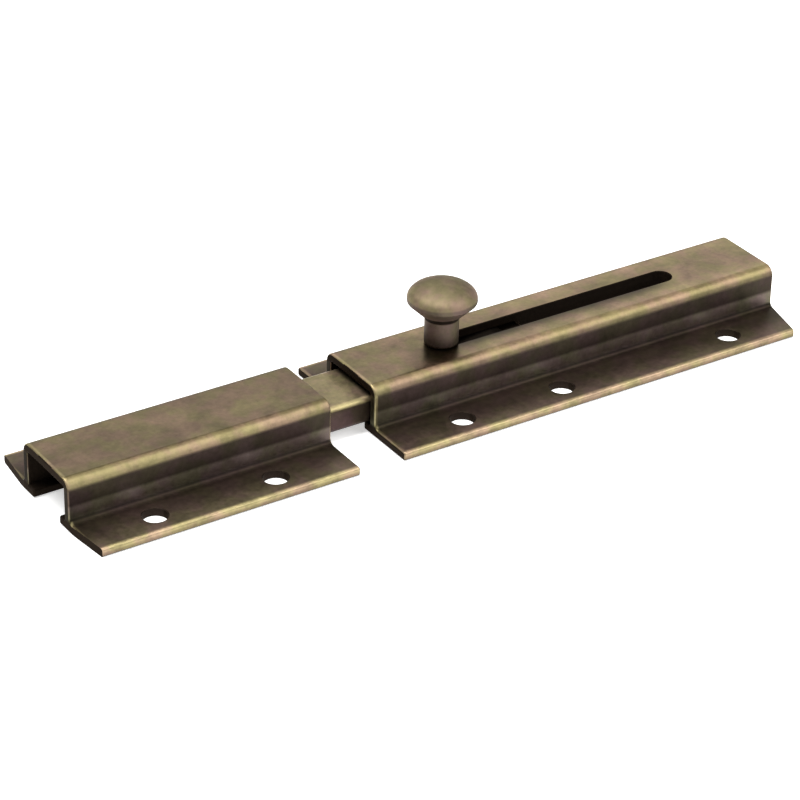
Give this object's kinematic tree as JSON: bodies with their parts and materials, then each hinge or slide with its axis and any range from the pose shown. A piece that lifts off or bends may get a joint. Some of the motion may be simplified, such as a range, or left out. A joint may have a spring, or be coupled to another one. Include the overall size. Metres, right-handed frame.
{
  "type": "surface slide bolt",
  "caption": "Surface-mounted slide bolt in antique brass: hat-section housing with a slotted crown and inward toes, flat bar moved by a round knob, and a matching keeper on the frame.",
  "frame": {"origin": "middle of the mounting plane, half way along the whole bolt", "axes": "+X along the bolt from the keeper to the housing, +Z away from the door, +Y across the flanges"},
  "size_m": [0.15, 0.036, 0.022],
  "materials": {
    "cover_brass": "antique, satin, worn on the bends",
    "bar_brass": "antique, satin, worn on the edges",
    "knob_brass": "antique, satin, turned",
    "screw_brass": "antique, plain",
    "spring_steel": "rolled strip, blackened and oiled"
  },
  "bodies": {
    "housing": {"housing": "cover_brass"},
    "bolt": {"bolt": "bar_brass", "knob": "knob_brass", "knob_screw": "screw_brass", "friction_spring": "spring_steel"},
    "keeper": {"keeper": "cover_brass"}
  },
  "joints": [
    {"name": "bolt_slide", "type": "slide", "parent": "housing", "child": "bolt", "axis": [1, 0, 0], "range_m": [0, 0.0492]},
    {"name": "keeper_draw", "type": "slide", "parent": "housing", "child": "keeper", "axis": [-1, 0, 0], "range_m": [0, 0.045]}
  ]
}
